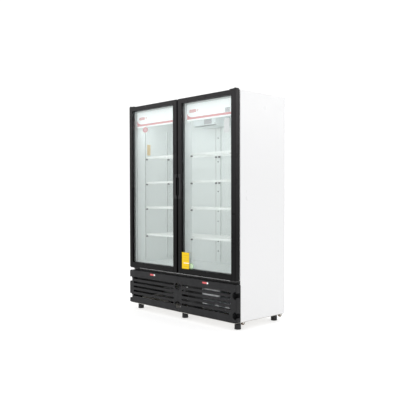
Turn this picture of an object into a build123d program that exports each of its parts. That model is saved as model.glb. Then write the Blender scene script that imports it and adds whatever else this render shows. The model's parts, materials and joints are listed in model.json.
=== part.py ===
from build123d import *
import os

os.makedirs("parts", exist_ok=True)

# Two-door glass merchandiser. Millimetres, +Z up, doors face -Y, origin on the floor
# under the centre of the cabinet.

# Overall size
WIDTH = 1400.0  # across both doors
DEPTH = 617.0  # door face to the end of the cord inlet
HEIGHT = 1926.0  # floor to roof panel
PAN_BOTTOM = 60.0  # floor to base pan
CASE_BOTTOM = 68.0  # floor to the side panels' lower edge
SHEET = 1.5  # steel skin
SKIN_CORNER = 4.0  # outer radius of the skin's bends, and of what sits inside them
PLAY = 0.4  # general clearance between pieces that don't touch

SIDE = WIDTH / 2
FRONT = -DEPTH / 2  # face of the doors
BACK = DEPTH / 2
CASE_FRONT = FRONT + 58.0  # front edge of the white cabinet
PANEL_INSIDE = SIDE - SHEET
REAR_FACE = BACK - 2.5  # outer face of the rear panels
REAR_EDGE = REAR_FACE - SHEET - 0.1  # rear edge of the side panels

# Storage space
WALL = 50.0
INNER_SIDE = SIDE - WALL
INNER_FLOOR = 448.0
INNER_CEILING = 1873.0
INNER_FRONT = FRONT + 100.0
INNER_BACK = FRONT + 517.0
LINER = 1.2
COMPARTMENT_TOP = 388.5  # roof of the machine compartment

# Doors
DOOR_GAP = 20.0
DOOR_BOTTOM = 404.0
DOOR_TOP = 1924.0
DOOR_THICKNESS = 48.0
STILE = 47.0
GLASS_SETBACK = 16.0
PANE = 4.0
PANE_SPACE = 14.0
GLASS_REBATE = 10.0
GASKET_THICKNESS = 9.5
GRIP_LENGTH = 210.0
GRIP_WIDTH = 33.0
GRIP_DEPTH = 40.0
GRIP_CENTRE = 1164.0
RECESS_LENGTH = 160.0
RECESS_WIDTH = 12.0
RECESS_DEPTH = 34.0
RECESS_UNDERCUT = 26.0
DOOR_CORNER = 12.0  # radius of the lower outer corner
DECOR_LINE = 1.4  # width of the grooves in the frame's face
DECOR_DEPTH = 1.0
DECOR_INSET = 4.0  # glass opening to the groove beside it
DOOR_X = (DOOR_GAP / 2, SIDE)
DOOR_Y = (FRONT, FRONT + DOOR_THICKNESS)
RAIL_TOP_Z = (DOOR_TOP - 40.0, DOOR_TOP)
RAIL_BOTTOM_Z = (DOOR_BOTTOM, DOOR_BOTTOM + 47.0)
OPENING_X = (DOOR_X[0] + STILE, DOOR_X[1] - STILE)
OPENING_Z = (RAIL_BOTTOM_Z[1], RAIL_TOP_Z[0])
UNIT_X = (OPENING_X[0] - GLASS_REBATE, OPENING_X[1] + GLASS_REBATE)
UNIT_Y = (FRONT + GLASS_SETBACK, FRONT + GLASS_SETBACK + 2 * PANE + PANE_SPACE)
UNIT_Z = (OPENING_Z[0] - GLASS_REBATE, OPENING_Z[1] + GLASS_REBATE)

# Hinges
PIN_X = SIDE - 20.0
PIN_Y = FRONT + 25.0
PIN_RADIUS = 6.0
PIN_LENGTH = 25.0
RUNNING_FIT = 0.05

# Shelves
SHELF_TOPS = (718.0, 980.0, 1218.0, 1460.0)
SHELF_FRONT = FRONT + 158.0
SHELF_BACK = FRONT + 500.0
SHELF_X = (8.0, 634.0)
BAND_HEIGHT = 19.0
FRAME_ROD = 3.0
WIRE = 1.6
WIRE_PITCH = 25.0
FRONT_POST_Y = FRONT + 156.0
REAR_POST_Y = FRONT + 432.0
POST_WIDTH = 24.0
POST_DEPTH = 12.0
POST_Z = (470.0, 1720.0)
CLIP = 14.0

# Header panels behind the glass
HEADER_X = (65.0, INNER_SIDE - PLAY)
HEADER_Z = (1730.0, INNER_CEILING - PLAY)
HEADER_THICKNESS = 8.0
LAMP_Z = 1772.0
LAMP_RADIUS = 9.0
CONTROLLER_X = (533.0, 588.0)
CONTROLLER_Z = (1762.0, 1801.0)

# Grille panels
GRILLE_FRONT = FRONT + 2.0
GRILLE_BACK = FRONT + 57.6
GRILLE_SIDE = SIDE + 3.0
GRILLE_TOP = 374.0
GRILLE_WALL = 3.0
GRILLE_CORNER = 14.0  # radius of the upper outer corner
GRILLE_GROOVE = (5.0, 8.0)  # groove in the side wall, behind the front face
SLOT_X = (53.0, 644.0)
SLOT_TOP_CENTRE = 301.0
SLOT_PITCH = 41.0
SLOT_HEIGHT = 18.0
SLOTS = 5
NOTCH_CENTRES = (286.0, 125.0)
NOTCH_HEIGHT = 62.0
NOTCH_WIDTH = 38.0
GRILLE_WEB_X = (655.0, 657.0)  # rib between the slots and the outer notches

# Feet and rollers
FEET_FRONT = [(x, FRONT + 90.0) for x in (-640.0, 0.0, 640.0)]
FEET_REAR = [(x, FRONT + 570.0) for x in (-620.0, 0.0, 620.0)]
FOOT_RADIUS = 28.0
FOOT_CUP = 48.0
FOOT_NECK = 19.0
STEM_RADIUS = 8.0
STEM_LENGTH = 58.0
ROLLER_X = 677.0
ROLLER_YS = (FRONT + 112.0, FRONT + 580.0)
ROLLER_Z = 57.0
ROLLER_RADIUS = 20.0
ROLLER_WIDTH = 13.0
AXLE_RADIUS = 5.0

# Evaporator
EVAPORATOR_X = 143.0
EVAPORATOR_Y = (FRONT + 331.0, INNER_BACK - 1.0)
EVAPORATOR_Z = (1716.0, INNER_CEILING - PLAY)
EVAPORATOR_FAN_X = 68.0
EVAPORATOR_FAN_Z = 1828.0
EVAPORATOR_FAN_RADIUS = 36.0
EVAPORATOR_HUB = 14.0
EVAPORATOR_SHAFT = 2.5

# Drain pan
DRAIN_PAN_X = (-420.0, -130.0)
DRAIN_PAN_Y = (-60.0, 230.0)
DRAIN_PAN_Z = (PAN_BOTTOM + 14.0, PAN_BOTTOM + 59.0)
DRAIN_PAN_WALL = 2.0

# Condensing unit
CONDENSER_X = (230.0, 610.0)
CONDENSER_Y = (FRONT + 92.0, FRONT + 150.0)
CONDENSER_Z = (100.0, 350.0)
CONDENSER_FAN_RADIUS = 105.0
CONDENSER_HUB = 26.0
CONDENSER_SHAFT = 4.0
COMPRESSOR_X = 20.0
COMPRESSOR_Y = 90.0
COMPRESSOR_RADIUS = 82.0
FAN_CENTRES = {
    "condenser_fan": ((CONDENSER_X[0] + CONDENSER_X[1]) / 2, FRONT + 172.0, 225.0),
    "evaporator_fan_left": (-EVAPORATOR_FAN_X, EVAPORATOR_Y[0] + 8.0, EVAPORATOR_FAN_Z),
    "evaporator_fan_right": (EVAPORATOR_FAN_X, EVAPORATOR_Y[0] + 8.0, EVAPORATOR_FAN_Z),
}
BLADES = 5
HUB_DEPTH = 0.9  # of the hub's radius

# Supply cord inlet and refrigerant lines
INLET_X = -620.0
INLET_Z = 135.0
INLET_RADIUS = 11.0
INLET_BORE = 4.5
LINE_X = -60.0
LINE_Y = FRONT + 560.0
LINE_RADIUS = 4.0


# Shape helpers


def block(x, y, z):
    """A box between a (low, high) pair on each axis."""
    sizes = [high - low for low, high in (x, y, z)]
    return Pos(x[0], y[0], z[0]) * Box(*sizes, align=(Align.MIN, Align.MIN, Align.MIN))


def rod(start, end, radius):
    """A round bar from one point to another."""
    run = Vector(*end) - Vector(*start)
    plane = Plane(origin=start, z_dir=run.normalized())
    return plane * Cylinder(radius, run.length, align=(Align.CENTER, Align.CENTER, Align.MIN))


def around(centre, width):
    """A (low, high) pair of the given width about a centre."""
    return (centre - width / 2, centre + width / 2)


def tube(points, radius, bend):
    """A bent round tube along straight runs."""
    path = FilletPolyline(*points, radius=bend)
    start = Plane(origin=path @ 0, z_dir=path % 0)
    return sweep(start * Circle(radius), path=path)


def flip(shape):
    """The same shape on the other side of the cabinet."""
    return mirror(shape, about=Plane.YZ)


def save(name, *shapes):
    """Write the solids of the shapes as one node."""
    solids = [solid for shape in shapes for solid in shape.solids()]
    export_step(Compound(solids), f"parts/{name}.step")


# Cabinet skin


def side_panel():
    """Right side skin: a sheet with a flange turned in along its front and rear edges."""
    flange = 20.0
    z = (CASE_BOTTOM, HEIGHT)
    outer = block((SIDE - flange, SIDE), (CASE_FRONT, REAR_EDGE), z)
    outer = fillet(outer.edges().filter_by(Axis.Z).group_by(Axis.X)[-1], SKIN_CORNER)
    inner_y = (CASE_FRONT + SHEET, REAR_EDGE - SHEET)
    inner = block((SIDE - flange - 1, PANEL_INSIDE), inner_y, (0, HEIGHT + 1))
    inner = fillet(inner.edges().filter_by(Axis.Z).group_by(Axis.X)[-1], SKIN_CORNER - SHEET)
    return outer - inner


def top_panel():
    """Roof sheet with a lip turned down along the front."""
    x = PANEL_INSIDE - PLAY / 2
    y = (CASE_FRONT + SHEET + PLAY / 2, REAR_EDGE - SHEET - PLAY / 2)
    roof = block((-x, x), y, (HEIGHT - SHEET, HEIGHT))
    roof = fillet(roof.edges().filter_by(Axis.Z), SKIN_CORNER)
    lip_x = SIDE - 20.0 - PLAY / 2
    front = block((-lip_x, lip_x), (CASE_FRONT, y[0] + 1), (HEIGHT - SHEET, HEIGHT))
    lip = block((-lip_x, lip_x), (CASE_FRONT, CASE_FRONT + SHEET), (HEIGHT - 30, HEIGHT))
    return roof + front + lip


def rear_panel():
    y = (REAR_FACE - SHEET, REAR_FACE)
    return block((-SIDE + 1, SIDE - 1), y, (COMPARTMENT_TOP + 1, HEIGHT))


def rear_service_cover():
    """Removable rear cover of the machine compartment, with rows of air slots."""
    y = (REAR_FACE - SHEET, REAR_FACE)
    cover = block((-SIDE + 1, SIDE - 1), y, (CASE_BOTTOM, COMPARTMENT_TOP - 1))
    for column in (-420.0, 0.0, 420.0):
        for row in range(7):
            z = 150.0 + 30.0 * row
            cover -= block(around(column, 300.0), (y[0] - 1, y[1] + 1), around(z, 8.0))
    inlet = Pos(INLET_X, BACK, INLET_Z) * Rot(90, 0, 0) * Cylinder(INLET_RADIUS + PLAY, 10)
    return cover - inlet


def power_inlet():
    """Gland for the supply cord in the rear cover, with its flange inside the cover."""
    y_inner, y_outer = BACK - 24.0, BACK
    body = rod((INLET_X, y_inner, INLET_Z), (INLET_X, y_outer, INLET_Z), INLET_RADIUS)
    flange_y = (REAR_EDGE - 4.0, REAR_EDGE)
    body += block(around(INLET_X, 34.0), flange_y, around(INLET_Z, 34.0))
    return body - rod((INLET_X, y_inner - 1, INLET_Z), (INLET_X, y_outer + 1, INLET_Z), INLET_BORE)


def insulation():
    """One foamed shell between the outer skin and the liner, open at the front."""
    x = PANEL_INSIDE - PLAY
    shell = block(
        (-x, x),
        (INNER_FRONT, REAR_EDGE - SHEET - PLAY),
        (COMPARTMENT_TOP + PLAY, HEIGHT - SHEET - PLAY),
    )
    shell = fillet(shell.edges().filter_by(Axis.Z).group_by(Axis.Y)[-1], SKIN_CORNER)
    cavity_x = INNER_SIDE + LINER + PLAY / 2
    cavity = block(
        (-cavity_x, cavity_x),
        (INNER_FRONT - 1, INNER_BACK + LINER + PLAY / 2),
        (INNER_FLOOR - LINER - PLAY / 2, INNER_CEILING + LINER + PLAY / 2),
    )
    chase = block(around(LINE_X, 46.0), around(LINE_Y, 26.0), (COMPARTMENT_TOP, 1850.0))
    pass_through = block(around(LINE_X, 46.0), (INNER_BACK, LINE_Y), (1800.0, 1850.0))
    return shell - cavity - chase - pass_through


def liner_sheets():
    """The five white sheets that line the storage space, by name."""
    x = INNER_SIDE + LINER
    y = (INNER_FRONT, INNER_BACK)
    right = block((INNER_SIDE, x), y, (INNER_FLOOR, INNER_CEILING))
    rear = block(
        (-x, x), (INNER_BACK, INNER_BACK + LINER), (INNER_FLOOR - LINER, INNER_CEILING + LINER)
    )
    rear -= block(around(LINE_X, 40.0), (INNER_BACK - 1, INNER_BACK + 5), (1805.0, 1845.0))
    return {
        "right_liner": right,
        "left_liner": flip(right),
        "rear_liner": rear,
        "floor_liner": block((-x, x), y, (INNER_FLOOR - LINER, INNER_FLOOR)),
        "ceiling_liner": block((-x, x), y, (INNER_CEILING, INNER_CEILING + LINER)),
    }


def opening_frame():
    """Four profiles round the front of the storage space, which the gaskets close on."""
    y = (CASE_FRONT + SHEET + PLAY / 4, INNER_FRONT - PLAY / 4)
    outer_x = PANEL_INSIDE - PLAY
    face_x = SIDE - 20.0 - PLAY / 2
    top = HEIGHT - SHEET - PLAY
    jamb = block((INNER_SIDE, outer_x), y, (COMPARTMENT_TOP, top))
    corner = jamb.edges().filter_by(Axis.Z).group_by(Axis.Y)[0].sort_by(Axis.X)[-1]
    jamb = fillet(corner, SKIN_CORNER)
    jamb += block((INNER_SIDE, face_x), (CASE_FRONT, y[1]), (COMPARTMENT_TOP, HEIGHT - 31.0))
    head = block((-INNER_SIDE, INNER_SIDE), y, (INNER_CEILING, top))
    head += block((-INNER_SIDE, INNER_SIDE), (CASE_FRONT, y[1]), (INNER_CEILING, HEIGHT - 31.0))
    sill = block((-INNER_SIDE, INNER_SIDE), (CASE_FRONT, y[1]), (COMPARTMENT_TOP, INNER_FLOOR))
    return jamb, flip(jamb), head, sill


def centre_mullion():
    mullion = block(
        (-47, 47), (CASE_FRONT, FRONT + 118.0), (INNER_FLOOR + 0.1, INNER_CEILING - 0.1)
    )
    return fillet(mullion.edges().filter_by(Axis.Z).group_by(Axis.Y)[-1], 6.0)


# Base


def base_pan():
    """Folded steel pan with a lip under the grilles, foot nuts and roller forks."""
    x, y0, y1 = 688.0, CASE_FRONT + 12.0, REAR_EDGE - 6.0
    wall = 2.0
    pan = block((-x, x), (y0, y1), (PAN_BOTTOM, PAN_BOTTOM + 40))
    pan -= block(
        (-x + wall, x - wall), (y0 + wall, y1 - wall), (PAN_BOTTOM + wall, PAN_BOTTOM + 41)
    )
    pan += block((-x, x), (FRONT + 6.0, y0 + 1), (PAN_BOTTOM + 2, PAN_BOTTOM + 5))
    for foot_x, foot_y in FEET_FRONT + FEET_REAR:
        nut = rod((foot_x, foot_y, PAN_BOTTOM + 1), (foot_x, foot_y, PAN_BOTTOM + 14), 15.0)
        hole = rod((foot_x, foot_y, PAN_BOTTOM - 1), (foot_x, foot_y, PAN_BOTTOM + 15), 8.5)
        pan = pan + nut - hole
    for sign in (-1, 1):
        for y in ROLLER_YS:
            slot_x = around(sign * ROLLER_X, 19.0)
            pan -= block(slot_x, around(y, 46.0), (PAN_BOTTOM - 1, PAN_BOTTOM + 3))
            for ear_x in (sign * (ROLLER_X - 9.5), sign * (ROLLER_X + 9.5)):
                pan += block(around(ear_x, 2.5), around(y, 18.0), (ROLLER_Z - 8, 84.0))
            axle_x = around(sign * ROLLER_X, 20.0)
            pan += rod((axle_x[0], y, ROLLER_Z), (axle_x[1], y, ROLLER_Z), AXLE_RADIUS)
    return pan


def levelling_foot(x, y):
    """Moulded cup on a threaded stem, screwed fully into the pan's nut."""
    cup = rod((x, y, 0), (x, y, FOOT_CUP), FOOT_RADIUS)
    rims = cup.edges().filter_by(GeomType.CIRCLE)
    cup = fillet(rims.sort_by(Axis.Z)[0], 5.0)
    cup = fillet(cup.edges().filter_by(GeomType.CIRCLE).sort_by(Axis.Z)[-1], 7.0)
    neck = rod((x, y, FOOT_CUP - 1), (x, y, PAN_BOTTOM - PLAY), FOOT_NECK)
    stem = rod((x, y, FOOT_CUP), (x, y, PAN_BOTTOM + STEM_LENGTH), STEM_RADIUS)
    return cup + neck + stem


def roller(x, y):
    """Transport roller on the pan's fixed axle."""
    ends = around(x, ROLLER_WIDTH)
    wheel = rod((ends[0], y, ROLLER_Z), (ends[1], y, ROLLER_Z), ROLLER_RADIUS)
    wheel = fillet(wheel.edges().filter_by(GeomType.CIRCLE), 1.5)
    bore = rod((ends[0] - 1, y, ROLLER_Z), (ends[1] + 1, y, ROLLER_Z), AXLE_RADIUS + RUNNING_FIT)
    return wheel - bore


# Machine compartment


def compressor():
    """Hermetic compressor: a domed can on a mounting plate with four rubber-foot posts."""
    base = PAN_BOTTOM + 2.0
    x, y = COMPRESSOR_X, COMPRESSOR_Y
    can = rod((x, y, base + 20), (x, y, base + 205), COMPRESSOR_RADIUS)
    can = fillet(can.edges().filter_by(GeomType.CIRCLE).sort_by(Axis.Z)[-1], 45.0)
    can = fillet(can.edges().filter_by(GeomType.CIRCLE).sort_by(Axis.Z)[0], 18.0)
    plate = block(around(x, 220.0), around(y, 150.0), (base + 16, base + 21))
    for dx in (-95, 95):
        for dy in (-60, 60):
            plate += rod((x + dx, y + dy, base), (x + dx, y + dy, base + 17), 12.0)
    cover = block(
        (x - COMPRESSOR_RADIUS - 22, x - COMPRESSOR_RADIUS + 14), around(y, 70.0), (130.0, 205.0)
    )
    return can + plate + cover


def condenser_coil():
    """Finned coil: header plates, aluminium fins and the tube rows through them."""
    x, y, z = CONDENSER_X, CONDENSER_Y, CONDENSER_Z
    coil = block((x[0], x[0] + 2), y, z) + block((x[1] - 2, x[1]), y, z)
    rows = 7
    pitch = (z[1] - z[0]) / rows
    for row in range(rows):
        for tube_y in (y[0] + 15, y[1] - 15):
            height = z[0] + pitch * (row + 0.5)
            coil += rod((x[0] - 6, tube_y, height), (x[1] + 6, tube_y, height), 5.0)
    fin_pitch = 12.0
    fins = int((x[1] - x[0]) / fin_pitch)
    for index in range(1, fins):
        fin_x = x[0] + index * fin_pitch
        coil += block((fin_x, fin_x + 0.8), y, (z[0] + 4, z[1] - 4))
    for foot_x in x:
        coil += block(around(foot_x, 20.0), y, (PAN_BOTTOM + 2, z[0] + 3))
    return coil


def fan(centre, radius, hub, bore):
    """Axial fan that turns about Y, with a hub bored for its motor's shaft."""
    x, y, z = centre
    depth = hub * HUB_DEPTH
    rotor = rod((x, y, z), (x, y + depth, z), hub)
    blade_length = radius - hub + 2
    blade = Box(blade_length, 2.5, hub * 1.9)
    blade = Pos(hub - 2 + blade_length / 2, 0, 0) * Rot(35, 0, 0) * blade
    turn = 360.0 / BLADES
    for index in range(BLADES):
        rotor += Pos(x, y + depth / 2, z) * Rot(0, turn * index, 0) * blade
    sweep_disc = rod((x, y - 40, z), (x, y + 40, z), radius)
    rotor = rotor & sweep_disc
    return rotor - rod((x, y - 1, z), (x, y + depth + 1, z), bore)


def fan_motors():
    """Three fan motors, each on its own stand, with its shaft through the fan's hub."""
    x, y, z = FAN_CENTRES["condenser_fan"]
    motor_y = y + CONDENSER_HUB * HUB_DEPTH + 4
    motor = rod((x, motor_y, z), (x, motor_y + 70, z), 42.0)
    motor += rod((x, y - 2, z), (x, motor_y + 1, z), CONDENSER_SHAFT)
    motor += block(around(x, 60.0), (motor_y + 20, motor_y + 50), (PAN_BOTTOM + 2, z - 35))
    motors = [motor]
    for name in ("evaporator_fan_left", "evaporator_fan_right"):
        x, y, z = FAN_CENTRES[name]
        motor_y = y + EVAPORATOR_HUB * HUB_DEPTH + 3
        small = rod((x, motor_y, z), (x, motor_y + 34, z), 24.0)
        small += rod((x, y - 1, z), (x, motor_y + 1, z), EVAPORATOR_SHAFT)
        small += block(around(x, 18.0), (motor_y + 8, motor_y + 26), (z + 20, EVAPORATOR_Z[1] - 1.6))
        motors.append(small)
    return motors


def drain_pan():
    """Open tray on four short legs that catches the defrost water beside the compressor."""
    x, y, z = DRAIN_PAN_X, DRAIN_PAN_Y, DRAIN_PAN_Z
    wall = DRAIN_PAN_WALL
    pan = block(x, y, z)
    pan -= block((x[0] + wall, x[1] - wall), (y[0] + wall, y[1] - wall), (z[0] + wall, z[1] + 1))
    for leg_x in (x[0] + 20, x[1] - 20):
        for leg_y in (y[0] + 20, y[1] - 20):
            pan += rod((leg_x, leg_y, PAN_BOTTOM + 2.1), (leg_x, leg_y, z[0] + 1), 9.0)
    return pan


def electrical_box():
    z = PAN_BOTTOM + 2.1
    box = block((-640.0, -480.0), (60.0, 230.0), (z, z + 120))
    return fillet(box.edges().filter_by(Axis.Z), 6.0)


def refrigerant_lines():
    """Suction line up to the evaporator and discharge line to the condenser."""
    suction_x = LINE_X - 10.0
    liquid_x = LINE_X + 10.0
    top_y = EVAPORATOR_Y[1] - 12.0
    lines = []
    for x, height, start_x in ((suction_x, 1832.0, -50.0), (liquid_x, 1816.0, 0.0)):
        route = [
            (start_x, COMPRESSOR_Y + 100.0, 180.0),
            (x, LINE_Y, 300.0),
            (x, LINE_Y, height),
            (x, top_y, height),
        ]
        lines.append(tube(route, LINE_RADIUS, 10.0))
    discharge = [
        (COMPRESSOR_X + 100.0, COMPRESSOR_Y, 200.0),
        (COMPRESSOR_X + 150.0, COMPRESSOR_Y, 330.0),
        (200.0, -60.0, 330.0),
        (200.0, CONDENSER_Y[1] - 15, 330.0),
    ]
    lines.append(tube(discharge, LINE_RADIUS, 18.0))
    return lines


# Storage space


def evaporator_housing():
    """Sheet housing under the ceiling, open at the back, with two fan openings in front."""
    x, y, z = EVAPORATOR_X, EVAPORATOR_Y, EVAPORATOR_Z
    wall = 1.5
    housing = block((-x, x), y, z)
    housing = fillet(housing.edges().filter_by(Axis.X).group_by(Axis.Z)[0][0], 12.0)
    housing -= block((-x + wall, x - wall), (y[0] + wall, y[1] + 1), (z[0] + wall, z[1] - wall))
    fan_z = EVAPORATOR_FAN_Z
    for fan_x in (-EVAPORATOR_FAN_X, EVAPORATOR_FAN_X):
        housing -= rod((fan_x, y[0] - 1, fan_z), (fan_x, y[0] + 9, fan_z), EVAPORATOR_FAN_RADIUS + 4)
    return housing


def evaporator_coil():
    """Finned coil behind the evaporator fans."""
    x = EVAPORATOR_X - 12.0
    y = (EVAPORATOR_Y[0] + 64.0, EVAPORATOR_Y[1] - 30.0)
    z = (EVAPORATOR_Z[0] + 6, EVAPORATOR_Z[1] - 8)
    coil = block((-x, -x + 2), y, z) + block((x - 2, x), y, z)
    for tube_z in (z[0] + 25, z[0] + 70, z[0] + 115):
        coil += rod((-x - 5, y[0] + 35, tube_z), (x + 5, y[0] + 35, tube_z), 5.0)
    fin_pitch = 10.0
    for index in range(1, int(2 * x / fin_pitch)):
        fin_x = -x + index * fin_pitch
        coil += block((fin_x, fin_x + 0.8), y, (z[0] + 2, z[1] - 2))
    return coil


def shelf_standards():
    """Slotted posts on the side walls and mullion, and the wide centre strip at the back."""
    posts = []
    slot_pitch = 32.0
    for y in (FRONT_POST_Y, REAR_POST_Y):
        post = block((INNER_SIDE - POST_DEPTH, INNER_SIDE - 0.1), around(y, POST_WIDTH), POST_Z)
        face = INNER_SIDE - POST_DEPTH
        for index in range(int((POST_Z[1] - POST_Z[0]) / slot_pitch)):
            z = POST_Z[0] + slot_pitch * (index + 0.5)
            post -= block((face - 1, face + 4), around(y, 4.0), around(z, 12.0))
        posts += [post, flip(post)]
    posts.append(block((-4, 4), (FRONT + 118.1, FRONT + 168.0), POST_Z))
    strip_z = (POST_Z[0], EVAPORATOR_Z[0] - 4.0)
    strip = block((-35, 35), (INNER_BACK - POST_DEPTH, INNER_BACK - 0.1), strip_z)
    posts.append(chamfer(strip.edges().filter_by(Axis.Z).group_by(Axis.Y)[0], 3.0))
    return posts


def clip_places():
    """Each clip of a right-hand shelf: its x range, its y centre and the drop below the shelf."""
    side_x = (INNER_SIDE - POST_DEPTH - CLIP, INNER_SIDE - POST_DEPTH - 0.2)
    below_band = BAND_HEIGHT + 0.3
    below_rods = 2 * WIRE + 2 * FRAME_ROD + 1
    return (
        (side_x, FRONT_POST_Y + 3.0, below_band),
        (side_x, REAR_POST_Y, below_rods),
        ((4.2, 4.2 + CLIP), FRONT_POST_Y + 3.0, below_band),
        ((14.0, 14.0 + CLIP), INNER_BACK - POST_DEPTH - CLIP / 2 - 0.2, below_rods),
    )


def shelf_clips():
    """Small black clips that carry the corners of every shelf."""
    clips = []
    for top in SHELF_TOPS:
        for x, y, drop in clip_places():
            clip = block(x, around(y, CLIP), (top - drop - CLIP, top - drop))
            clip = chamfer(clip.edges().filter_by(Axis.Y).group_by(Axis.Z)[0], 4.0)
            clips += [clip, flip(clip)]
    return clips


def liner_screws():
    """Screws down the middle of the rear centre strip."""
    face = INNER_BACK - POST_DEPTH
    screws = []
    for z in (565.0, 655.0, 844.0, 937.0, 1121.0, 1400.0, 1620.0):
        head = rod((0, face - 3.0, z), (0, face - 0.1, z), 5.5)
        screws.append(chamfer(head.edges().filter_by(GeomType.CIRCLE).sort_by(Axis.Y)[0], 1.0))
    return screws


def shelf(top):
    """Right-hand wire shelf: long wires over a rod frame, with a flat band at the front."""
    x, y = SHELF_X, (SHELF_FRONT, SHELF_BACK)
    band = 3.0
    embed = 0.5
    side_x = (x[0] + FRAME_ROD + 1, x[1] - FRAME_ROD - 1)
    wire_z = top - WIRE - 1
    rod_z = wire_z - WIRE - FRAME_ROD + embed
    cross_radius = FRAME_ROD - 0.5
    cross_z = wire_z - WIRE - cross_radius + embed
    piece = block(x, (y[0], y[0] + band), (top - BAND_HEIGHT, top))
    for side in side_x:
        piece += rod((side, y[0] + band / 2, rod_z), (side, y[1], rod_z), FRAME_ROD)
    for cross in (y[0] + 115.0, y[0] + 228.0, y[1] - 2 * FRAME_ROD):
        piece += rod((side_x[0], cross, cross_z), (side_x[1], cross, cross_z), cross_radius)
    count = int((x[1] - x[0] - 20.0) / WIRE_PITCH)
    first = (x[0] + x[1] - WIRE_PITCH * count) / 2
    for index in range(count + 1):
        wire_x = first + WIRE_PITCH * index
        piece += rod((wire_x, y[0] + band / 2, wire_z), (wire_x, y[1] - 1.0, wire_z), WIRE)
    return piece


def header():
    """Right-hand header panel behind the top of the glass."""
    y = (CASE_FRONT + PLAY / 4, CASE_FRONT + HEADER_THICKNESS)
    panel = block(HEADER_X, y, HEADER_Z)
    return fillet(panel.edges().filter_by(Axis.X).group_by(Axis.Z)[0], 3.0)


def led_bar():
    """Right-hand lamp: a channel with a rounded lens, behind the header."""
    y = CASE_FRONT + 26.0
    x = (HEADER_X[0] + 20.0, HEADER_X[1] - 20.0)
    lens = rod((x[0], y, LAMP_Z), (x[1], y, LAMP_Z), LAMP_RADIUS)
    bracket = block(x, (CASE_FRONT + HEADER_THICKNESS + 0.1, y), around(LAMP_Z, 12.0))
    return lens + bracket


def temperature_controller():
    """Display of the controller, let into the front of the right header."""
    y = (CASE_FRONT - 4.0, CASE_FRONT + PLAY / 8)
    body = block(CONTROLLER_X, y, CONTROLLER_Z)
    return fillet(body.edges().filter_by(Axis.Y), 3.0)


# Grilles


def notch(edge_x, centre_z, direction):
    """Half-hexagon prism that opens on a panel's vertical edge."""
    half = NOTCH_HEIGHT / 2
    points = [
        (edge_x - direction, centre_z - half),
        (edge_x + direction * NOTCH_WIDTH * 0.45, centre_z - half),
        (edge_x + direction * NOTCH_WIDTH, centre_z - half * 0.4),
        (edge_x + direction * NOTCH_WIDTH, centre_z + half * 0.4),
        (edge_x + direction * NOTCH_WIDTH * 0.45, centre_z + half),
        (edge_x - direction, centre_z + half),
    ]
    outline = make_face(Polyline(*points, close=True))
    plane = Plane(origin=(0, GRILLE_FRONT - 1, 0), x_dir=(1, 0, 0), z_dir=(0, -1, 0))
    return extrude(plane * outline, amount=-(GRILLE_WALL + 2))


def upper_outer_edge(shape):
    """The edge along Y at the top right of a block."""
    return shape.edges().filter_by(Axis.Y).group_by(Axis.Z)[-1].sort_by(Axis.X)[-1]


def grille():
    """Right-hand grille: a shell of front, side, top and bottom walls with five louvred slots."""
    x = (0.6, GRILLE_SIDE)
    y = (GRILLE_FRONT, GRILLE_BACK)
    z = (CASE_BOTTOM, GRILLE_TOP)
    wall = GRILLE_WALL
    outer = block(x, y, z)
    outer = fillet(upper_outer_edge(outer), GRILLE_CORNER)
    outer = fillet(outer.edges().filter_by(Axis.Z).group_by(Axis.Y)[0].sort_by(Axis.X)[-1], 4.5)
    inner = block((x[0] - 1, x[1] - wall), (y[0] + wall, y[1] + 1), (z[0] + wall, z[1] - wall))
    panel = outer - fillet(upper_outer_edge(inner), GRILLE_CORNER - wall)
    groove_y = (y[0] + GRILLE_GROOVE[0], y[0] + GRILLE_GROOVE[1])
    panel -= block((x[1] - 1.2, x[1] + 1), groove_y, (z[0] - 1, z[1] - GRILLE_CORNER))
    for index in range(SLOTS):
        centre = SLOT_TOP_CENTRE - SLOT_PITCH * index
        slot = block(SLOT_X, (y[0] - 1, y[0] + wall + 1), around(centre, SLOT_HEIGHT))
        panel -= fillet(slot.edges().filter_by(Axis.Y), SLOT_HEIGHT * 0.45)
        louvre = Box(SLOT_X[1] - SLOT_X[0] + 16, 22.0, 2.0)
        middle = ((SLOT_X[0] + SLOT_X[1]) / 2, y[0] + wall + 8.5, centre + SLOT_HEIGHT / 2 + 4.0)
        panel += Pos(*middle) * Rot(-22, 0, 0) * louvre
    panel += block(GRILLE_WEB_X, (y[0] + 1, y[1] - 1), (z[0] + 1, z[1] - 1))
    for centre in NOTCH_CENTRES:
        pocket_x = (GRILLE_WEB_X[0] + 1, x[1] - 1)
        panel += block(pocket_x, (y[1] - 5, y[1] - 3), around(centre, NOTCH_HEIGHT + 8))
        panel -= notch(x[0], centre, 1)
        panel -= notch(x[1], centre, -1)
        panel -= block(
            (x[1] - wall - 1, x[1] + 1), (y[0] - 1, y[1] - 6), around(centre, NOTCH_HEIGHT * 0.62)
        )
    return panel


# Hinges


def upper_hinge():
    """Right-hand hinge plate over the door, with a tongue on the roof and its pin in the door."""
    plate_z = (HEIGHT, HEIGHT + 5.0)
    plate = block((SIDE - 70.0, SIDE), (FRONT + 3.0, FRONT + 50.0), plate_z)
    plate = fillet(plate.edges().filter_by(Axis.Z), 6.0)
    plate += block((SIDE - 70.0, SIDE - 32.0), (FRONT + 30.0, CASE_FRONT + 60.0), plate_z)
    cap = block((SIDE - 25.0, SIDE), (FRONT + 3.0, FRONT + 46.0), (HEIGHT + 4.9, HEIGHT + 9.0))
    cap = fillet(cap.edges().filter_by(Axis.Z), 6.0)
    pin = rod((PIN_X, PIN_Y, HEIGHT + 1), (PIN_X, PIN_Y, DOOR_TOP - PIN_LENGTH), PIN_RADIUS)
    return plate + cap + pin


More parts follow.
